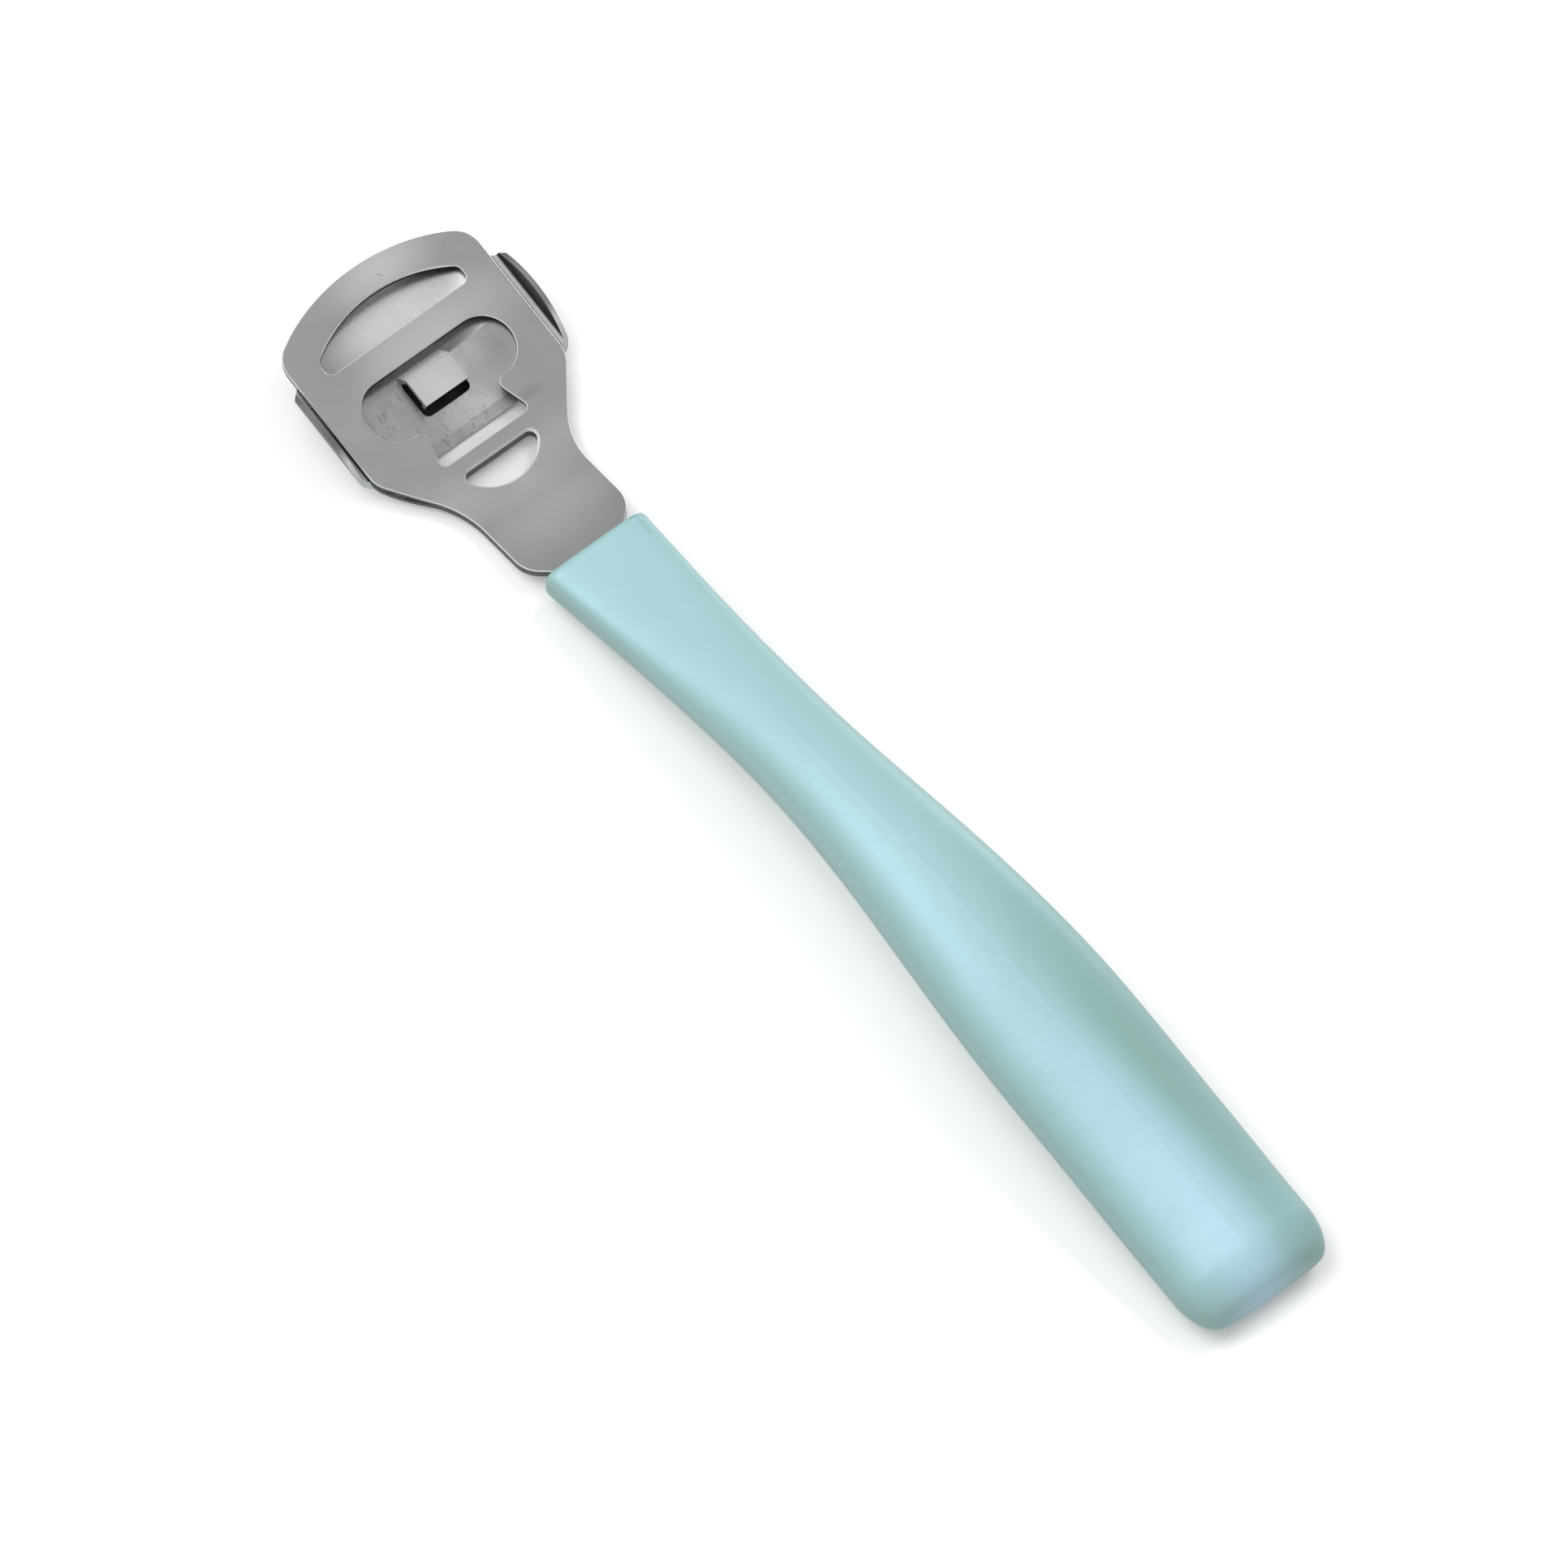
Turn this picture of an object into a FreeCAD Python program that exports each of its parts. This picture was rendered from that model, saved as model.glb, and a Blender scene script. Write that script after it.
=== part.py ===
import FreeCAD, Part
import math
import os

V = FreeCAD.Vector

# Lengths are in millimetres and angles in degrees.
# A distance called back is measured in plan from the head's tip towards the handle's tail.

# Whole tool
overall_length = 174.0

# The two stainless sheets of the head
sheet_thickness = 0.6
head_width = 29.0
head_front_radius = 27.0
head_front_corner = 3.5
head_side_back = 22.6
head_side_corner = 3.5
head_pitch = 12.3

# Neck and the bend in front of it
neck_width = 15.7
neck_start_back = 31.3
neck_blend_radius = 11.0
neck_pitch = 7.0
bend_back = 30.5
bend_radius = 26.5
shoulder_length = 2.4
shoulder_gap = 0.5
shoulder_corner = 4.0

# Tangs inside the handle
tang_width = 10.4
tang_length = 30.0
tang_root_radius = 0.8
tang_corner = 2.0
anchor_hole_diameter = 4.5
anchor_hole_pitch = 11.0
anchor_hole_count = 2

# Crescent opening of the clamp plate
crescent_back = 3.9
crescent_length = 5.2
crescent_width = 21.2
crescent_front_radius = 19.5
crescent_corner = 1.0

# Window over the blade and its stem, which ends behind the cutting edge
window_back = 12.7
window_length = 7.8
window_width = 21.4
stem_width_front = 10.2
stem_width_rear = 13.6
stem_rear_back = 25.6
stem_blend_radius = 1.0
stem_rear_corner = 0.8

# Half-moon opening through both sheets
half_moon_back = 27.5
half_moon_length = 4.1
half_moon_radius = 6.0
half_moon_corner = 0.9
half_moon_bevel = 0.3

# Arched skin side of the guard plate and its two ears
arch_radius = 46.0
guard_inset = 0.9
guard_corner = 2.6
ear_front_back = 7.8
ear_front_slant = 45.0
ear_rear_back = 23.0
ear_middle_back = 14.4
ear_rise = 2.0
ear_outline_radius = 12.0
ear_flare_radius = 1.2
ear_flare_angle = 80.0
arch_fade_length = 5.5
edge_break = 0.12

# Mouth of the guard plate, under the cutting edge
mouth_width = 17.5
mouth_overlap = 2.3
mouth_gap = 2.6
mouth_corner = 0.9

# Blade
blade_thickness = 0.25
blade_end_gap = 0.5
blade_back = 13.7
blade_length = 9.9
blade_corner = 1.0
bevel_length = 1.4
edge_thickness = 0.04

# Tab that is lanced out of the guard plate and locates the blade
tab_width = 6.3
tab_length = 4.6
tab_rise = 2.2
tab_root_length = 0.6
tab_ramp_length = 1.35
tab_lip_height = 1.4
tab_corner = 0.8
tab_clearance = 0.3

# Moulded handle
handle_front_back = 45.5
handle_front_width = 15.1
handle_front_thickness = 4.8
handle_waist_width = 12.9
waist_back = 80.0
handle_grip_width = 20.4
grip_back = 137.0
crest_thickness = 8.4
crest_back = 108.0
crest_height = 11.8
tail_thickness = 7.8
tail_pitch = 7.0
tail_round_length = 6.0
tail_end_thickness = 1.6
handle_rise_over_tang = 0.7
front_edge_radius = 0.9
front_fullness = 1.0
grip_fullness = 0.65

blade_width = head_width - 2 * blade_end_gap
blade_edge_back = blade_back + blade_length
tang_start_back = handle_front_back - shoulder_gap
tang_end_back = tang_start_back + tang_length
tail_start_back = overall_length - tail_round_length
tab_end_back = blade_back + tab_length
tall = 60.0


def y_at(back):
    """Place along the tool of a distance back from the tip."""
    return overall_length / 2 - back


def sagitta(half_width, radius):
    """Height of an arc over a chord of twice the half width."""
    return radius - math.sqrt(radius ** 2 - half_width ** 2)


def eased(share):
    """Smooth step from 0 to 1 with level ends."""
    share = min(max(share, 0.0), 1.0)
    return (1 - math.cos(math.pi * share)) / 2


# Side line of the head: two straight runs joined by one bend

blade_seat_depth = sagitta(blade_width / 2, arch_radius) + blade_thickness
half_turn = math.radians(head_pitch + neck_pitch) / 2
head_angle = math.radians(head_pitch)
neck_angle = math.radians(neck_pitch)
head_normal = V(0, -math.sin(head_angle), math.cos(head_angle))
neck_normal = V(0, math.sin(neck_angle), math.cos(neck_angle))
bend_point = V(0, y_at(bend_back), 0)
bend_axis = bend_point + (head_normal + neck_normal).normalize() * (bend_radius / math.cos(half_turn))


def side_line(back):
    """Point and upward normal of the clamp plate's top face on the centre line, before the lift."""
    y = y_at(back)
    head_end = (bend_axis - head_normal * bend_radius).y
    neck_end = (bend_axis - neck_normal * bend_radius).y
    if y >= head_end:
        return V(0, y, (y - bend_point.y) * math.tan(head_angle)), head_normal
    if y <= neck_end:
        return V(0, y, (bend_point.y - y) * math.tan(neck_angle)), neck_normal
    turn = math.asin((y - bend_axis.y) / bend_radius)
    normal = V(0, -math.sin(turn), math.cos(turn))
    return bend_axis - normal * bend_radius, normal


def arch_share(back):
    """How much of the full arch is left: 1 in the head, 0 from the neck on."""
    return 1 - eased((back - blade_edge_back) / arch_fade_length)


def guard_underside(back):
    """Point of the guard plate's lowest line square below the side line, before the lift."""
    point, normal = side_line(back)
    depth = 2 * sheet_thickness + blade_seat_depth * arch_share(back)
    return point - normal * depth


# The lowest of the guard plate's middle, which the mouth interrupts, lies on the ground
mouth_front_back = blade_edge_back - mouth_overlap
mouth_rear_back = blade_edge_back + mouth_gap
underside = [guard_underside(back / 20) for back in range(300, 800)]
lift = V(0, 0, -min(point.z for point in underside
                    if not y_at(mouth_rear_back) < point.y < y_at(mouth_front_back)))


def top_height_at(y):
    """Height of the clamp plate's top face on the centre line."""
    return (side_line(overall_length / 2 - y)[0] + lift).z


def sheet_strip(top_depth, bottom_depth, front_back, rear_back):
    """Bent strip between two depths below the clamp plate's top face, wider than the head."""
    def run(depth):
        front, front_up = side_line(front_back)
        rear, rear_up = side_line(rear_back)
        middle_up = (head_normal + neck_normal).normalize()
        bend = [bend_axis - up * (bend_radius + depth) for up in (head_normal, middle_up, neck_normal)]
        return front - front_up * depth, bend, rear - rear_up * depth

    top_front, top_bend, top_rear = run(top_depth)
    low_front, low_bend, low_rear = run(bottom_depth)
    edges = [
        Part.makeLine(top_front, top_bend[0]), Part.Arc(*top_bend).toShape(),
        Part.makeLine(top_bend[2], top_rear), Part.makeLine(top_rear, low_rear),
        Part.makeLine(low_rear, low_bend[2]), Part.Arc(*reversed(low_bend)).toShape(),
        Part.makeLine(low_bend[0], low_front), Part.makeLine(low_front, top_front),
    ]
    face = Part.Face(Part.Wire(edges))
    face.translate(V(-head_width, 0, 0) + lift)
    return face.extrude(V(2 * head_width, 0, 0))


# Outlines in plan

def rounded_wire(corners):
    """Closed plan outline through corners (x, back, radius), with a tangent arc at each radius."""
    points = [V(x, y_at(back), 0) for x, back, radius in corners]
    starts, ends, arcs = [], [], []
    for index, (x, back, radius) in enumerate(corners):
        here, before, after = points[index], points[index - 1], points[(index + 1) % len(points)]
        to_before = (before - here).normalize()
        to_after = (after - here).normalize()
        if radius == 0:
            starts.append(here)
            ends.append(here)
            arcs.append(None)
            continue
        half = to_before.getAngle(to_after) / 2
        reach = radius / math.tan(half)
        start = here + to_before * reach
        end = here + to_after * reach
        centre = here + (to_before + to_after).normalize() * (radius / math.sin(half))
        middle = centre + (here - centre).normalize() * radius
        starts.append(start)
        ends.append(end)
        arcs.append(Part.Arc(start, middle, end).toShape())
    edges = []
    for index, arc in enumerate(arcs):
        if arc:
            edges.append(arc)
        next_start = starts[(index + 1) % len(starts)]
        if ends[index].distanceToPoint(next_start) > 1e-4:
            edges.append(Part.makeLine(ends[index], next_start))
    return Part.Wire(Part.__sortEdges__(edges))


def mirrored(right_half):
    """Corners of the right half from front to rear, then the same ones back along the left."""
    return right_half + [(-x, back, radius) for x, back, radius in reversed(right_half)]


def upright(wire):
    """Tall prism over a plan outline."""
    face = Part.Face(wire)
    face.translate(V(0, 0, -tall / 2))
    return face.extrude(V(0, 0, tall))


def disc(centre_back, radius):
    """Tall cylinder over a circle in plan, centred on the tool."""
    return Part.makeCylinder(radius, tall, V(0, y_at(centre_back), -tall / 2))


def round_upright_edges(prism, radius, front_back, rear_back, least_x):
    """Round the vertical edges of a prism that stand in the given stretch."""
    edges = [
        edge for edge in prism.Edges
        if abs(edge.tangentAt(edge.FirstParameter).z) > 0.99
        and y_at(rear_back) <= edge.CenterOfMass.y <= y_at(front_back)
        and abs(edge.CenterOfMass.x) > least_x
    ]
    return prism.makeFillet(radius, edges)


def neck_corners():
    """Right half of the neck, shoulder and tang, which both sheets share."""
    return [
        (neck_width / 2, neck_start_back, neck_blend_radius),
        (neck_width / 2, tang_start_back - shoulder_length, shoulder_corner),
        (tang_width / 2, tang_start_back, tang_root_radius),
        (tang_width / 2, tang_end_back, tang_corner),
    ]


def shovel_outline(sides, front_radius, corner, straight_end_back):
    """Plan prism of one sheet: its sides and neck, closed by an arc at the front."""
    shovel = upright(rounded_wire(mirrored(sides + neck_corners())))
    rest = upright(rounded_wire(mirrored([
        (head_width, head_front_radius, 0), (head_width, overall_length, 0),
    ])))
    shovel = shovel.common(disc(head_front_radius, front_radius).fuse(rest))
    half = sides[0][0]
    corner_back = head_front_radius - math.sqrt(front_radius ** 2 - half ** 2)
    half_angle = (math.pi / 2 + math.asin(half / front_radius)) / 2
    longest_reach = 0.9 * (straight_end_back - corner_back)
    radius = min(corner, longest_reach * math.tan(half_angle))
    return round_upright_edges(shovel, radius, corner_back - 0.1, corner_back + 0.1, half - 0.5)


def clamp_outline():
    half = head_width / 2
    return shovel_outline([(half, -5, 0), (half, head_side_back, head_side_corner)],
                          head_front_radius, head_front_corner, head_side_back)


def guard_outline():
    half = head_width / 2
    inner = half - guard_inset
    shovel = shovel_outline([
        (inner, -5, 0), (inner, ear_front_back, 0),
        (half, ear_front_back, 0), (half, head_side_back, head_side_corner),
    ], head_front_radius - guard_inset, guard_corner, ear_front_back)
    return shovel.fuse(ear_lobes())


def ear_lobes():
    """Room for both ears: their free edges are one arc in side view, above the clamp plate's sides."""
    top, up = side_line(ear_middle_back)
    centre = top + lift + up * (ear_rise - ear_outline_radius)
    arc = Part.makeCylinder(ear_outline_radius, 2 * head_width, centre - V(head_width, 0, 0), V(1, 0, 0))
    half = head_width / 2
    slant_rear_back = ear_front_back + (head_width - half) * math.tan(math.radians(ear_front_slant))
    return arc.common(upright(rounded_wire(mirrored([
        (half, ear_front_back, 0), (head_width, slant_rear_back, 0), (head_width, ear_rear_back, 0),
    ]))))


# Cut-outs, as prisms that stand in plan

def crescent_cut():
    half = crescent_width / 2
    rear = crescent_back + crescent_length
    block = upright(rounded_wire(mirrored([(half, crescent_back - 1, 0), (half, rear, 0)])))
    lens = block.common(disc(crescent_back + crescent_front_radius, crescent_front_radius))
    return round_upright_edges(lens, crescent_corner, crescent_back - 2, rear + 1, half - 0.5)


def window_cut():
    half = window_width / 2
    rear = window_back + window_length
    end_radius = window_length / 2
    return upright(rounded_wire(mirrored([
        (half, window_back, end_radius),
        (half, rear, end_radius),
        (stem_width_front / 2, rear, stem_blend_radius),
        (stem_width_rear / 2, stem_rear_back, stem_rear_corner),
    ])))


def half_moon_cut():
    rear = half_moon_back + half_moon_length
    block = upright(rounded_wire(mirrored([
        (half_moon_radius * 2, half_moon_back, 0), (half_moon_radius * 2, rear + 1, 0),
    ])))
    moon = block.common(disc(rear - half_moon_radius, half_moon_radius))
    return round_upright_edges(moon, half_moon_corner, half_moon_back - 1, half_moon_back + 1, 0)


def mouth_cut():
    half = mouth_width / 2
    return upright(rounded_wire(mirrored([
        (half, mouth_front_back, mouth_corner), (half, mouth_rear_back, mouth_corner),
    ])))


def anchor_holes():
    first = (handle_front_back + tang_end_back - anchor_hole_pitch * (anchor_hole_count - 1)) / 2
    return [disc(first + index * anchor_hole_pitch, anchor_hole_diameter / 2)
            for index in range(anchor_hole_count)]


# Arched sections, drawn square to the side line

def section_frame(back):
    """Placement whose x runs across the tool and whose y rises square to the sheets."""
    point, normal = side_line(back)
    matrix = FreeCAD.Matrix(
        1, 0, 0, 0,
        0, normal.y, -normal.z, point.y,
        0, normal.z, normal.y, point.z + lift.z,
        0, 0, 0, 1,
    )
    return FreeCAD.Placement(matrix)


def band_wire(back, half_width, share, top_depth, bottom_depth):
    """Closed band across the head, arched by a share of the full arch between two depths."""
    def across(depth, edge_depth):
        low = V(0, -depth, 0)
        side = V(half_width, -edge_depth, 0)
        if share == 0:
            return Part.makeLine(V(-half_width, -edge_depth, 0), side)
        return Part.Arc(V(-half_width, -edge_depth, 0), low, side).toShape()

    rise = sagitta(half_width, arch_radius) * share
    top = across(top_depth, top_depth - rise)
    low = across(bottom_depth, bottom_depth - rise)
    ends = [Part.makeLine(V(x, rise - top_depth, 0), V(x, rise - bottom_depth, 0))
            for x in (-half_width, half_width)]
    wire = Part.Wire(Part.__sortEdges__([top, ends[1], low, ends[0]]))
    wire.Placement = section_frame(back)
    return wire


def flared_face(back):
    """Section of the guard plate where it carries the ears: one arch that turns up at both sides."""
    top_depth = sheet_thickness + blade_seat_depth
    foot = head_width / 2
    start_angle = math.asin(foot / arch_radius)
    end_angle = math.radians(ear_flare_angle)

    def side_points(offset):
        """Foot, middle and end of one flare and the top of its wall, offset below the upper face."""
        axis = V(0, arch_radius - top_depth, 0)
        foot_up = V(-math.sin(start_angle), math.cos(start_angle), 0)
        flare_axis = axis - foot_up * (arch_radius - ear_flare_radius)
        ups = [V(-math.sin(angle), math.cos(angle), 0)
               for angle in (start_angle, (start_angle + end_angle) / 2, end_angle)]
        flare = [flare_axis - up * (ear_flare_radius + offset) for up in ups]
        wall = V(math.cos(end_angle), math.sin(end_angle), 0) * (2 * ear_rise + blade_seat_depth)
        return flare + [flare[2] + wall]

    def flip(point):
        return V(-point.x, point.y, 0)

    edges = []
    for offset in (0, sheet_thickness):
        right = side_points(offset)
        left = [flip(point) for point in right]
        edges.append(Part.Arc(left[0], V(0, -top_depth - offset, 0), right[0]).toShape())
        for side in (right, left):
            edges.append(Part.Arc(*side[:3]).toShape())
            edges.append(Part.makeLine(side[2], side[3]))
    top_end, low_end = side_points(0)[3], side_points(sheet_thickness)[3]
    edges.append(Part.makeLine(top_end, low_end))
    edges.append(Part.makeLine(flip(top_end), flip(low_end)))
    wire = Part.Wire(Part.__sortEdges__(edges))
    wire.Placement = section_frame(back)
    return Part.Face(wire)


def along_head(front_back, rear_back):
    """Vector down the head's straight run between two distances back from the tip."""
    return side_line(rear_back)[0] - side_line(front_back)[0]


# Pieces

def bevel_half_moon(plate):
    """Break the upper rim of the half-moon opening, where the punch went in."""
    rear = half_moon_back + half_moon_length
    rim = [
        edge for edge in plate.Edges
        if y_at(rear + 0.2) < edge.CenterOfMass.y < y_at(half_moon_back - 0.2)
        and abs(edge.CenterOfMass.x) < half_moon_radius
        and edge.BoundBox.ZMax - edge.BoundBox.ZMin < sheet_thickness
        and edge.CenterOfMass.z > top_height_at(edge.CenterOfMass.y) - sheet_thickness / 2
    ]
    return plate.makeChamfer(half_moon_bevel, rim)


def break_upper_edges(plate):
    """Take the sharpness off the upper rims of the plate in front of the handle."""
    rims = []
    for edge in plate.Edges:
        middle = edge.valueAt((edge.FirstParameter + edge.LastParameter) / 2)
        if edge.BoundBox.YMin > y_at(handle_front_back) and abs(middle.z - top_height_at(middle.y)) < 0.01:
            rims.append(edge)
    return plate.makeChamfer(edge_break, rims)


def make_clamp_plate():
    plate = sheet_strip(0, sheet_thickness, -5, tang_end_back + 5).common(clamp_outline())
    plate = break_upper_edges(plate.cut(crescent_cut()).cut(window_cut()))
    for cut in [half_moon_cut()] + anchor_holes():
        plate = plate.cut(cut)
    return bevel_half_moon(plate)


def make_guard_plate():
    arch_end = blade_edge_back
    head = flared_face(-2).extrude(along_head(-2, arch_end))
    steps = 8
    sections = []
    for step in range(steps + 1):
        back = arch_end + arch_fade_length * step / steps
        share = arch_share(back) if step < steps else 0
        top_depth = sheet_thickness + blade_seat_depth * share
        sections.append(band_wire(back, head_width / 2 + 0.5, share, top_depth, top_depth + sheet_thickness))
    fade = Part.makeLoft(sections, True, False)
    strip = sheet_strip(sheet_thickness, 2 * sheet_thickness, -5, tang_end_back + 5)
    behind = Part.makeBox(4 * head_width, tall, overall_length, V(-2 * head_width, -tall / 2, 0))
    behind.Placement = section_frame(arch_end + arch_fade_length)
    plate = head.fuse(fade).fuse(strip.common(behind)).removeSplitter()
    plate = plate.common(guard_outline())
    for cut in [mouth_cut(), half_moon_cut(), tab_window()] + anchor_holes():
        plate = plate.cut(cut)
    return plate.fuse(make_tab()).removeSplitter()


def tab_window():
    half = tab_width / 2 + tab_clearance
    return upright(rounded_wire(mirrored([
        (half, blade_back, 0),
        (half, tab_end_back + tab_clearance, tab_corner),
    ])))


def make_tab():
    """Square tongue: a steep ramp out of the guard plate, a level top and a lip turned down behind."""
    root = blade_back - tab_root_length
    fold = root + tab_ramp_length
    rear = tab_end_back
    low = sheet_thickness + blade_seat_depth
    top = low - tab_rise
    ramp = math.hypot(tab_ramp_length, tab_rise)
    lean = tab_ramp_length / tab_rise
    under_ramp = root + sheet_thickness * ramp / tab_rise
    lip_front = rear - sheet_thickness
    profile = [
        (root, low), (fold, top), (rear, top), (rear, top + tab_lip_height),
        (lip_front, top + tab_lip_height), (lip_front, top + sheet_thickness),
        (under_ramp + (tab_rise - sheet_thickness) * lean, top + sheet_thickness),
        (under_ramp - sheet_thickness * lean, low + sheet_thickness), (root, low + sheet_thickness),
    ]
    up = side_line(root)[1]
    points = [side_line(back)[0] - up * depth for back, depth in profile]
    tongue = Part.Face(Part.makePolygon(points + points[:1]))
    tongue.translate(V(-tab_width / 2, 0, 0) + lift)
    tongue = tongue.extrude(V(tab_width, 0, 0))
    half = tab_width / 2
    plan = upright(rounded_wire(mirrored([(half, root - 2, 0), (half, rear + 1, tab_corner)])))
    return tongue.common(plan)


def make_blade():
    top = sheet_thickness + blade_seat_depth - blade_thickness
    low = sheet_thickness + blade_seat_depth
    half = blade_width / 2
    grind_back = blade_edge_back - bevel_length
    body = Part.Face(band_wire(blade_back, half, 1, top, low)).extrude(along_head(blade_back, grind_back))
    thin = band_wire(blade_edge_back, half, 1, low - edge_thickness, low)
    bevel = Part.makeLoft([band_wire(grind_back, half, 1, top, low), thin], True, True)
    blade = body.fuse(bevel)
    outline = upright(rounded_wire(mirrored([
        (half, blade_back, blade_corner), (half, blade_edge_back + 1, 0),
    ])))
    notch_half = tab_width / 2 + tab_clearance
    notch = upright(rounded_wire(mirrored([
        (notch_half, blade_back - 3, 0),
        (notch_half, tab_end_back + tab_clearance, tab_corner),
    ])))
    return blade.common(outline).cut(notch)


# Handle

handle_front_height = top_height_at(y_at(handle_front_back)) - sheet_thickness + handle_rise_over_tang


def smooth_run(start, end, back):
    """Cubic curve between two points given as (back, height, rise per length)."""
    length = end[0] - start[0]
    t = (back - start[0]) / length
    return (start[1] * (1 - 3 * t ** 2 + 2 * t ** 3) + start[2] * length * (t - 2 * t ** 2 + t ** 3)
            + end[1] * (3 * t ** 2 - 2 * t ** 3) + end[2] * length * (t ** 3 - t ** 2))


def handle_width(back):
    if back < waist_back:
        share = (waist_back - back) / (waist_back - handle_front_back)
        return handle_waist_width + (handle_front_width - handle_waist_width) * share ** 2
    share = eased((back - waist_back) / (grip_back - waist_back))
    return handle_waist_width + (handle_grip_width - handle_waist_width) * share


def handle_thickness(back):
    if back < crest_back:
        share = eased((back - handle_front_back) / (crest_back - handle_front_back))
        return handle_front_thickness + (crest_thickness - handle_front_thickness) * share
    share = eased((back - crest_back) / (tail_start_back - crest_back))
    return crest_thickness + (tail_thickness - crest_thickness) * share


def handle_height(back, tail_height):
    """Height of the handle's middle line: it leaves along the neck, arches and comes down to the tail."""
    crest = (crest_back, crest_height, 0)
    if back < crest_back:
        return smooth_run((handle_front_back, handle_front_height, math.tan(neck_angle)), crest, back)
    slope = -math.tan(math.radians(tail_pitch))
    return smooth_run(crest, (overall_length, tail_height, slope), back)


def tail_inset(back):
    """How far the outline draws in at the rounded tail."""
    share = min(max((back - tail_start_back) / tail_round_length, 0), 1)
    return (tail_thickness - tail_end_thickness) / 2 * (1 - math.sqrt(1 - share ** 2))


def tail_lowest(tail_height):
    backs = [tail_start_back - 20 + index / 10 for index in range(round(10 * tail_round_length) + 200)]
    return min(handle_height(back, tail_height) - handle_thickness(back) / 2 + tail_inset(back)
               for back in backs)


def resting_tail_height():
    """Height of the middle line's end at which the handle's underside just meets the ground."""
    low, high = 0.0, crest_height
    for step in range(40):
        middle = (low + high) / 2
        if tail_lowest(middle) < 0:
            low = middle
        else:
            high = middle
    return high


tail_height = resting_tail_height()


def handle_wire(back, inset):
    """Closed section of the handle in four quarter curves, squarer at the front than in the grip."""
    half_width = handle_width(back) / 2 - inset
    half_thickness = handle_thickness(back) / 2 - inset
    height = handle_height(back, tail_height)
    fullness = front_fullness + (grip_fullness - front_fullness) * eased(
        (back - handle_front_back) / (waist_back - handle_front_back))

    def place(across, rise):
        return V(half_width * across, y_at(back), height + half_thickness * rise)

    ends = [(1, 0), (0, 1), (-1, 0), (0, -1)]
    quarters = []
    for (x0, z0), (x1, z1) in zip(ends, ends[1:] + ends[:1]):
        quarter = Part.BezierCurve()
        quarter.setPoles([
            place(x0, z0), place(x0 + x1 * fullness, z0 + z1 * fullness),
            place(x1 + x0 * fullness, z1 + z0 * fullness), place(x1, z1),
        ])
        quarters.append(quarter.toShape())
    return Part.Wire(quarters)


def make_handle(clamp_plate, guard_plate):
    body_start = handle_front_back + front_edge_radius
    stations = 16
    backs = [body_start + (tail_start_back - body_start) * step / stations for step in range(stations + 1)]
    body = Part.makeLoft([handle_wire(back, 0) for back in backs], True, False)
    nose = []
    for angle in (0, 30, 60, 90):
        turn = math.radians(angle)
        nose.append(handle_wire(handle_front_back + front_edge_radius * (1 - math.cos(turn)),
                                front_edge_radius * (1 - math.sin(turn))))
    tail = []
    for angle in (0, 20, 40, 60, 78, 90):
        back = tail_start_back + tail_round_length * math.sin(math.radians(angle))
        tail.append(handle_wire(back, tail_inset(back)))
    body = body.fuse(Part.makeLoft(nose, True, True)).fuse(Part.makeLoft(tail, True, False))
    return body.cut(clamp_plate).cut(guard_plate)


def main():
    os.makedirs("parts", exist_ok=True)
    clamp_plate = make_clamp_plate()
    guard_plate = make_guard_plate()
    blade = make_blade()
    handle = make_handle(clamp_plate, guard_plate)
    pieces = {"clamp_plate": clamp_plate, "guard_plate": guard_plate, "blade": blade, "handle": handle}
    for name, shape in pieces.items():
        shape.exportStep("parts/" + name + ".step")
        box = shape.BoundBox
        print(name, shape.isValid(), len(shape.Solids), round(shape.Volume, 1),
              [round(value, 2) for value in (box.XMin, box.XMax, box.YMin, box.YMax, box.ZMin, box.ZMax)])


main()
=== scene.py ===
import math

import bpy
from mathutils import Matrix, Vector


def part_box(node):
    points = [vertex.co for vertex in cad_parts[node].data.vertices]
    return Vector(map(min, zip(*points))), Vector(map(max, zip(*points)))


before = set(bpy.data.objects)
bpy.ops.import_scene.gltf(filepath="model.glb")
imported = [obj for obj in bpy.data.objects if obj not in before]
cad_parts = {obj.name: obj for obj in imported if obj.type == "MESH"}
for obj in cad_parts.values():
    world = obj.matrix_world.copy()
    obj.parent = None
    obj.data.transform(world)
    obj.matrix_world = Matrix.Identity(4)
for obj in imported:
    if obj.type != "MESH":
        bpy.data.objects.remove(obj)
bpy.ops.object.select_all(action="DESELECT")
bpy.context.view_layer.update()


# Guard plate
# The lower sheet of the head: 0.6 mm stainless, blanked, then arched across and turned up into two ears.
# Its upper face is bright from the rolling mill and carries the blade.

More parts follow.
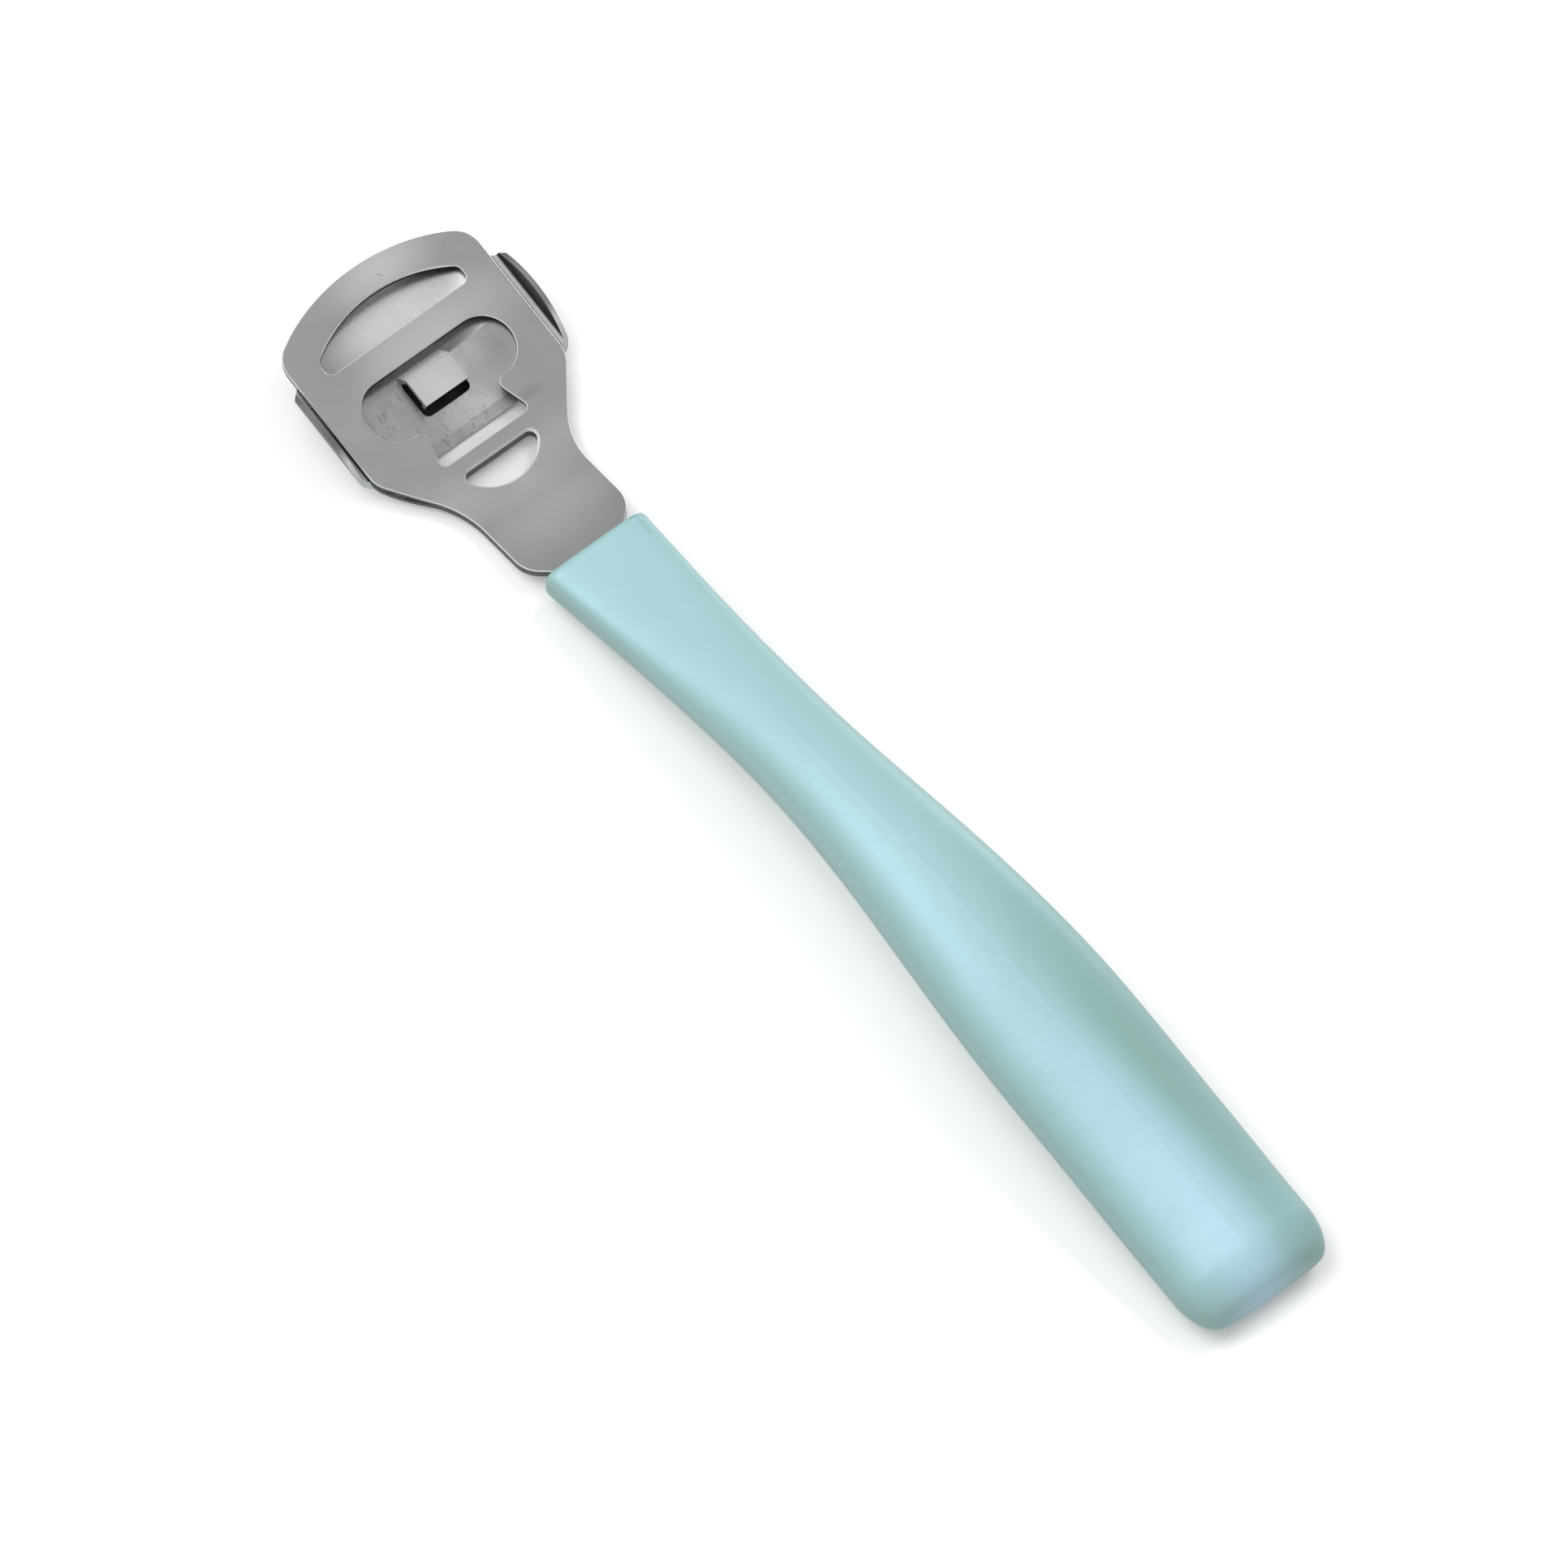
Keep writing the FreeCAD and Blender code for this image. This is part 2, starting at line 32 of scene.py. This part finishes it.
class Field:
    """A shader socket that Python's operators work on: each operator adds a Math node."""

    def __init__(self, tree, socket=None):
        self.tree = tree
        self.socket = socket

    def node(self, kind, settings, inputs, output=0):
        """Add a node: its settings come first, then the values or links of its inputs."""
        made = self.tree.nodes.new(kind)
        stops = settings.pop("stops", [])
        for name, value in settings.items():
            setattr(made, name, value)
        for index, (position, colour) in enumerate(stops):
            ramp = made.color_ramp.elements
            stop = ramp[index] if index < len(ramp) else ramp.new(position)
            stop.position = position
            stop.color = colour
        for name, value in inputs.items():
            if isinstance(value, Field):
                self.tree.links.new(value.socket, made.inputs[name])
            else:
                made.inputs[name].default_value = value
        return Field(self.tree, made.outputs[output])

    def maths(self, operation, first, second):
        return self.node("ShaderNodeMath", {"operation": operation}, {0: first, 1: second})

    def __add__(self, other):
        return self.maths("ADD", self, other)

    def __sub__(self, other):
        return self.maths("SUBTRACT", self, other)

    def __rsub__(self, other):
        return self.maths("SUBTRACT", other, self)

    def __mul__(self, other):
        return self.maths("MULTIPLY", self, other)

    __radd__ = __add__
    __rmul__ = __mul__

    def rise(self, start, end):
        """0 below start, 1 above end and a smooth step between; start may be the larger."""
        return self.node("ShaderNodeMapRange", {"interpolation_type": "SMOOTHSTEP"},
                         {"Value": self, "From Min": start, "From Max": end})

    def mix(self, none, full):
        """Colour none where this is 0, colour full where it is 1."""
        return self.node("ShaderNodeMix", {"data_type": "RGBA"}, {0: self, 6: none, 7: full}, output=2)

    def stretched(self, x, y, z):
        """A vector field with each axis multiplied."""
        return self.node("ShaderNodeVectorMath", {"operation": "MULTIPLY"}, {0: self, 1: (x, y, z)})

    def noise(self, size, detail=2.0, roughness=0.5):
        """Cloudy pattern of about this grain size, in metres, over a vector field."""
        return self.node("ShaderNodeTexNoise", {"noise_dimensions": "3D"},
                         {"Vector": self, "Scale": 1 / size, "Detail": detail, "Roughness": roughness})

    def axis(self, name):
        """One component of a vector field."""
        return self.node("ShaderNodeSeparateXYZ", {}, {0: self}, output=name)

    def size(self):
        return self.node("ShaderNodeMath", {"operation": "ABSOLUTE"}, {0: self})

    def near(self, point, radius, squeeze=(1, 1, 1)):
        """1 at a point of the object and 0 beyond the radius, which each axis may squeeze."""
        squeezed = tuple(place * share for place, share in zip(point, squeeze))
        away = self.node("ShaderNodeVectorMath", {"operation": "DISTANCE"},
                         {0: self.stretched(*squeeze), 1: squeezed}, output="Value")
        return away.rise(radius, 0)

    def stroke(self, start, end, half_width):
        """1 along a short scratch in plan from start to end, 0 beyond its half width."""
        length = math.dist(start, end)
        along = ((end[0] - start[0]) / length, (end[1] - start[1]) / length)
        x = self.axis("X") - (start[0] + end[0]) / 2
        y = self.axis("Y") - (start[1] + end[1]) / 2
        run = (x * along[0] + y * along[1]).size()
        off = (x * -along[1] + y * along[0]).size()
        return off.rise(half_width, 0) * run.rise(length / 2, length / 2 * 0.6)


def material_surface(name):
    """A new material: its name, its shader and its Object coordinates."""
    material = bpy.data.materials.new(name)
    material.use_nodes = True
    shader = material.node_tree.nodes["Principled BSDF"]
    place = Field(material.node_tree).node("ShaderNodeTexCoord", {}, {}, output="Object")
    return material, shader, place


def feed(shader, name, value):
    """Give a shader's socket a field or a constant."""
    if isinstance(value, Field):
        value.tree.links.new(value.socket, shader.inputs[name])
    else:
        shader.inputs[name].default_value = value


def bumped(height, depth):
    """Surface normal of a height field whose 0 to 1 is this deep, in metres."""
    return height.node("ShaderNodeBump", {}, {"Height": height, "Distance": depth}, output="Normal")


def dress(node, material):
    """Give a CAD node its material."""
    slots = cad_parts[node].data.materials
    slots.clear()
    slots.append(material)


def grey(level, warmth=0.0):
    """A near neutral colour."""
    return (level * (1 + warmth), level, level * (1 - warmth), 1)


def steel(name, dark, light, roughness, grain_depth, wave_depth, flecks=0.0, clouds=(), marks=()):
    """Stainless sheet: clouds of tone, a fine rolling grain along the tool and a slow unevenness.

    Most clouds are painted light: bright ones are painted highlights and reflections, dark ones painted
    shade.
    Each gives its place in plan, its reach, its squeeze across and along the tool and its level of grey.
    Each of marks is a scratch: its two ends, its half width and its level of grey.
    Broken edges are painted bright as a highlight, and where the sheet was sheared its wall is torn and
    painted dark as shade.
    """
    cloud_size = 0.007
    grain_width = 0.00018
    speckle_size = 0.00025
    fleck_size = 0.0006
    tear_size = 0.0003
    wave_size = 0.012
    fleck_tone = grey(0.16)
    # Painted highlight for broken edges, and painted shade over the torn grain of the sheared walls
    edge_highlight_tone = grey(0.95)
    torn_wall_deep_shade = grey(0.03)
    torn_wall_pale_shade = grey(0.16)
    material, shader, place = material_surface(name)
    facing = Field(material.node_tree).node("ShaderNodeTexCoord", {}, {}, output="Normal")
    patchy = place.noise(cloud_size, detail=3.0)
    grain = place.stretched(1.0, 0.12, 1.0).noise(grain_width, detail=3.0, roughness=0.6)
    speckle = place.noise(speckle_size)
    tone = (patchy.rise(0.35, 0.65) * 0.55 + grain * 0.30 + speckle * 0.15).mix(dark, light)
    for (x, y), reach, (across, along), level in clouds:
        tone = place.near((x, y, 0), reach, (across, along, 0)).mix(tone, grey(level))
    if flecks:
        specks = place.stretched(1.0, 0.3, 1.0).noise(fleck_size, detail=5.0, roughness=0.7)
        tone = (specks.rise(0.50, 0.72) * patchy.rise(0.40, 0.60) * flecks).mix(tone, fleck_tone)
    for start, end, half_width, level in marks:
        tone = place.stroke(start, end, half_width).mix(tone, grey(level))
    torn = place.stretched(1.0, 1.0, 6.0).noise(tear_size)
    faces_up = facing.axis("Z").size()
    broken_edge = faces_up.rise(0.93, 0.80)
    wall = faces_up.rise(0.62, 0.30)
    # Broken edges get the painted highlight here, and the sheared walls get painted shade below
    tone = broken_edge.mix(tone, edge_highlight_tone)
    wave = place.noise(wave_size, detail=1.0)
    feed(shader, "Metallic", 1 - broken_edge * (1 - wall) * 0.5)
    feed(shader, "Base Color", wall.mix(tone, torn.mix(torn_wall_deep_shade, torn_wall_pale_shade)))
    feed(shader, "Roughness", grain * 0.10 + wall * 0.15 + (roughness - 0.05))
    feed(shader, "Normal", bumped(grain * grain_depth + wave * wave_depth, 1.0))
    return material


# Painted light on the guard plate: painted highlights on the raised tab, the crescent's middle and the
# window's stem, painted shade at the crescent's right end, before the tab and on both ears
raised_tab_highlight = ((0.0, 0.0703), 0.0050, (1, 1), 0.78)
crescent_middle_highlight = ((-0.0030, 0.0803), 0.0062, (0.8, 1.3), 0.92)
crescent_right_end_shade = ((0.0100, 0.0812), 0.0070, (1, 1), 0.30)
shade_before_tab = ((0.0040, 0.0738), 0.0080, (0.5, 5.0), 0.20)
window_stem_highlight = ((0.0000, 0.0650), 0.0060, (1, 1), 0.90)
left_ear_shade = ((-0.0162, 0.0715), 0.0035, (1, 0.25), 0.23)
right_ear_shade = ((0.0164, 0.0715), 0.0034, (1, 0.20), 0.32)
guard_steel = steel(
    "guard_steel", dark=grey(0.60), light=grey(0.72), roughness=0.26,
    grain_depth=0.0000015, wave_depth=0.00010,
    clouds=[raised_tab_highlight, crescent_middle_highlight, crescent_right_end_shade, shade_before_tab, window_stem_highlight,
            left_ear_shade, right_ear_shade],
)
dress("guard_plate", guard_steel)


# Blade
# A 0.25 mm strip of hardened steel, ground to one bevelled edge and bowed over the guard plate's arch.
# It drops in from behind and the raised tab of the guard plate holds its notch.

# Painted light on the blade: painted shade in the window's right lobe, a painted highlight in its left lobe
window_right_lobe_shade = ((0.0100, 0.0705), 0.0090, (1, 0.7), 0.16)
window_left_lobe_highlight = ((-0.0105, 0.0700), 0.0080, (1, 0.7), 0.74)
blade_steel = steel(
    "blade_steel", dark=grey(0.34, 0.01), light=grey(0.62, 0.01), roughness=0.34,
    grain_depth=0.000005, wave_depth=0.00008, flecks=0.6, clouds=[window_right_lobe_shade, window_left_lobe_highlight],
)
dress("blade", blade_steel)


# Clamp plate
# The upper sheet of the head, flat and satin finished, with a crescent, a window over the blade and a
# half-moon that runs on through the guard plate. It springs down on the blade's two ends.

# Painted reflections on the clamp plate: highlights along a bar, at the tip and on the neck, and painted
# shade down both sides. The smudge and the scratch are real marks.
highlight_bar = ((0.0020, 0.0750), 0.0105, (0.62, 1.5), 0.62)
highlight_tip = ((0.0028, 0.0852), 0.0080, (0.8, 1.4), 0.66)
shaded_left_side = ((-0.0101, 0.0794), 0.0070, (1, 0.8), 0.40)
shaded_right_side = ((0.0090, 0.0640), 0.0100, (1, 0.8), 0.42)
highlight_neck = ((0.0000, 0.0495), 0.0100, (0.7, 1.3), 0.60)
thumb_smudge = ((0.0077, 0.0630), 0.0016, (0.6, 1.4), 0.36)
tip_scratch = ((0.0019, 0.0848), (0.0025, 0.0840), 0.00008, 0.24)
clamp_steel = steel(
    "clamp_steel", dark=grey(0.40), light=grey(0.46), roughness=0.34,
    grain_depth=0.0000025, wave_depth=0.00012,
    clouds=[highlight_bar, highlight_tip, shaded_left_side, shaded_right_side, highlight_neck, thumb_smudge],
    marks=[tip_scratch],
)
dress("clamp_plate", clamp_steel)


# Handle
# One moulding of pale aqua plastic round the two tangs, thin and square at the front and oval in the
# grip. The surface is smooth with a soft gloss, a few nicks and one parting mark.

# Painted light in the plastic's colours: the side colour is a darker, greener copy of the top colour as
# painted shade, and the shaded and tail colours are dark and bright painted reflections
shaded_side_aqua = (0.36, 0.55, 0.51, 1)
lit_top_aqua = (0.375, 0.59, 0.60, 1)
shaded_aqua = (0.29, 0.47, 0.42, 1)
tail_highlight_aqua = (0.50, 0.74, 0.84, 1)
nick_green = (0.16, 0.40, 0.38, 1)
mottle_size = 0.006
mottle_depth = 0.00010
orange_peel_size = 0.0012
orange_peel_depth = 0.000002
nick_depth = 0.0001
nicks = [((0.0077, -0.0463, 0.0141), 0.0006), ((0.0082, -0.0802, 0.0088), 0.0009),
         ((0.0051, -0.0802, 0.0088), 0.0007)]

plastic, shader, place = material_surface("aqua_plastic")
facing = Field(plastic.node_tree).node("ShaderNodeTexCoord", {}, {}, output="Normal")
upward = facing.axis("Z")
mottle = place.noise(mottle_size, detail=3.0)
orange_peel = place.noise(orange_peel_size, detail=1.0)
# Two soft patches are painted reflections: a dark one over the right of the grip and a bright one along the
# tail
shaded_right = place.near((0.0050, -0.0560, 0), 0.045, (6.0, 1.0, 0))
tail_highlight = place.near((-0.0010, -0.0780, 0), 0.045, (6.0, 1.0, 0))
# Painted shade: faces that turn away from straight up fade to the darker side colour; the mottle is the
# plastic's own uneven tone
tone = (upward.rise(0.70, 0.99) * 0.9 + mottle * 0.1).mix(shaded_side_aqua, lit_top_aqua)
tone = shaded_right.mix(tone, shaded_aqua)
tone = tail_highlight.mix(tone, tail_highlight_aqua)
dent = sum(place.near(point, reach) for point, reach in nicks)
parting = place.stroke((0.0064, 0.0409), (0.0052, 0.0411), 0.00022) \
    + place.stroke((0.0061, 0.0407), (0.0058, 0.0372), 0.00014) * 0.6
height = mottle * mottle_depth + orange_peel * orange_peel_depth - dent * nick_depth
feed(shader, "Base Color", (dent * 0.5 + parting).mix(tone, nick_green))
feed(shader, "Roughness", mottle * 0.08 + 0.38)
feed(shader, "Normal", bumped(height, 1.0))
feed(shader, "Specular IOR Level", 1.0)
feed(shader, "Specular Tint", (0.62, 0.84, 1.0, 1))
dress("handle", plastic)


# Floor, light and camera
# A pale table under soft studio lamps, seen from the photograph's angle with no perspective. The sheets
# mirror the lamp that the plastic's soft band needs, so the head and the handle each have their own.

image_side = 1932
tip_pixel = (432.8, 330.0)
pixels_per_metre = 10430.0
camera_azimuth = math.radians(-38.7)
camera_elevation = math.radians(60.9)
camera_distance = 1.0
floor_side = 6.0
floor_grey = grey(0.66)
floor_shade = grey(0.01)
floor_glow = 0.40
crevice_reach = 0.012
shade_under_head = 0.40

bpy.ops.mesh.primitive_plane_add(size=floor_side)
floor = bpy.context.object
floor.name = "floor"
floor_paint, floor_shader, place = material_surface("floor_paint")
seen = sum(place.node("ShaderNodeLightPath", {}, {}, output=ray)
           for ray in ("Is Camera Ray", "Is Glossy Ray", "Is Transmission Ray"))
# Painted shadow: the floor's glow dims where ambient occlusion finds the tool close by
open_sky = place.node("ShaderNodeAmbientOcclusion", {"samples": 8}, {"Distance": crevice_reach}, output="AO")
# Painted shadow: the floor is painted darker under the head and black under the tab
painted_head_shadow = place.near((0, 0.0630, 0), 0.0160) * shade_under_head
painted_tab_shadow = place.near((0, 0.0708, 0), 0.0085).rise(0.15, 0.55)
lit = (1 - painted_head_shadow) * (1 - painted_tab_shadow)
glow = seen.rise(0, 1) * (open_sky * 0.6 + 0.4) * lit
feed(floor_shader, "Base Color", lit.mix(floor_shade, floor_grey))
feed(floor_shader, "Roughness", 0.9)
feed(floor_shader, "Emission Color", glow.mix(grey(0), grey(1)))
feed(floor_shader, "Emission Strength", floor_glow)
floor.data.materials.append(floor_paint)

world = bpy.data.worlds.new("studio")
bpy.context.scene.world = world
world.use_nodes = True
background = world.node_tree.nodes["Background"]
sky = Field(world.node_tree)
direction = sky.node("ShaderNodeTexCoord", {}, {}, output="Generated")
dome_stops = [(0.0, grey(0.10)), (0.50, grey(0.27)), (0.75, grey(0.55)), (0.95, grey(0.72))]
leaning_height = direction.axis("Z") - direction.axis("X") * 0.20
dome = sky.node("ShaderNodeValToRGB", {"stops": dome_stops}, {0: leaning_height})
feed(background, "Color", dome)


def softbox(name, location, width, length, energy, lights, colour=(1, 1, 1)):
    """A flat lamp that faces the middle of the tool and lights only the given objects."""
    bpy.ops.object.light_add(type="AREA", location=location)
    lamp = bpy.context.object
    lamp.name = name
    lamp.data.shape = "RECTANGLE"
    lamp.data.size = width
    lamp.data.size_y = length
    lamp.data.energy = energy
    lamp.data.color = colour
    lamp.rotation_euler = (-lamp.location).to_track_quat("-Z", "Y").to_euler()
    lamp.light_linking.receiver_collection = bpy.data.collections.new("lit_by_" + name)
    for lit in lights:
        lamp.light_linking.receiver_collection.objects.link(lit)


head = [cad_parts[node] for node in ("guard_plate", "blade", "clamp_plate")]
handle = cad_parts["handle"]
softbox("head_lamp", (-0.34, 0.34, 0.88), width=0.80, length=0.80, energy=6.4,
        lights=head + [floor], colour=(0.96, 0.98, 1.0))
softbox("handle_lamp", (0.00, 0.34, 0.93), width=0.35, length=0.90, energy=6.6,
        lights=[handle], colour=(0.93, 0.97, 1.0))
softbox("rim_lamp", (0.90, 0.38, 0.15), width=0.30, length=0.30, energy=1.5, lights=head + [handle])
softbox("shadow_lamp", (0.62, 0.05, 0.76), width=0.40, length=0.40, energy=3.4, lights=[floor])

tip = Vector((0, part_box("clamp_plate")[1][1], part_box("clamp_plate")[1][2]))
toward_camera = Vector((
    math.sin(camera_azimuth) * math.cos(camera_elevation),
    -math.cos(camera_azimuth) * math.cos(camera_elevation),
    math.sin(camera_elevation),
))
bpy.ops.object.camera_add()
camera = bpy.context.object
camera.rotation_mode = "QUATERNION"
camera.rotation_quaternion = (-toward_camera).to_track_quat("-Z", "Y")
picture_right = camera.rotation_quaternion @ Vector((1, 0, 0))
picture_up = camera.rotation_quaternion @ Vector((0, 1, 0))
across = (image_side / 2 - tip_pixel[0]) / pixels_per_metre
down = (image_side / 2 - tip_pixel[1]) / pixels_per_metre
camera.location = tip + picture_right * across - picture_up * down + toward_camera * camera_distance
camera.data.type = "ORTHO"
camera.data.ortho_scale = image_side / pixels_per_metre
camera.data.clip_start = 0.01
camera.data.clip_end = 20.0
bpy.context.scene.camera = camera
bpy.context.scene.view_settings.view_transform = "Standard"
